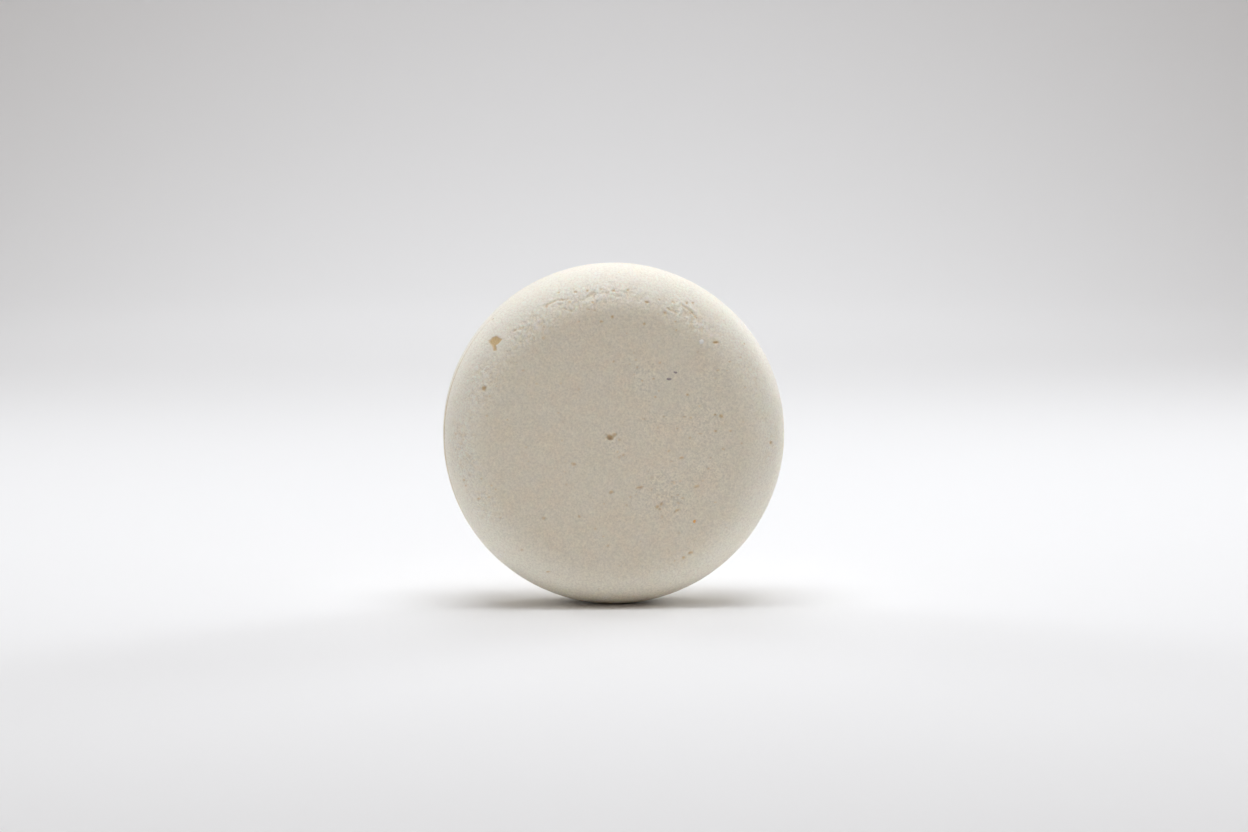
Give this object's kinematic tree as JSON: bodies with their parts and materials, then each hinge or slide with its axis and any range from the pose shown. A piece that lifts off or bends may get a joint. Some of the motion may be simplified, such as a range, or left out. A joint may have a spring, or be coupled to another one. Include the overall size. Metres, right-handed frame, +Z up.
{
  "type": "shaving soap puck",
  "caption": "Round cast shaving soap cake with broad rounded shoulders, a short straight rim, air pits on its face and coloured grains cast into the soap",
  "frame": {"origin": "the middle of the small flat on the rim that the cake stands on, under its centre", "axes": "Z is up; the cake stands on its rim with its axis along Y, its pitted front face towards -Y and its back face towards +Y; X runs to the right across the front face"},
  "size_m": [0.076, 0.026, 0.0758],
  "materials": {
    "soap": "hard cast tallow and stearic soap, matte with a fine grain",
    "orange_peel": "dried orange peel grain, dull",
    "violet_botanical": "dried grey-violet petal, dull",
    "undissolved_soap": "undissolved white soap crumb, matte"
  },
  "bodies": {
    "root": {"puck": "soap", "orange_grain": "orange_peel", "violet_grain": "violet_botanical", "violet_fleck": "violet_botanical", "white_grain": "undissolved_soap"}
  },
  "joints": []
}
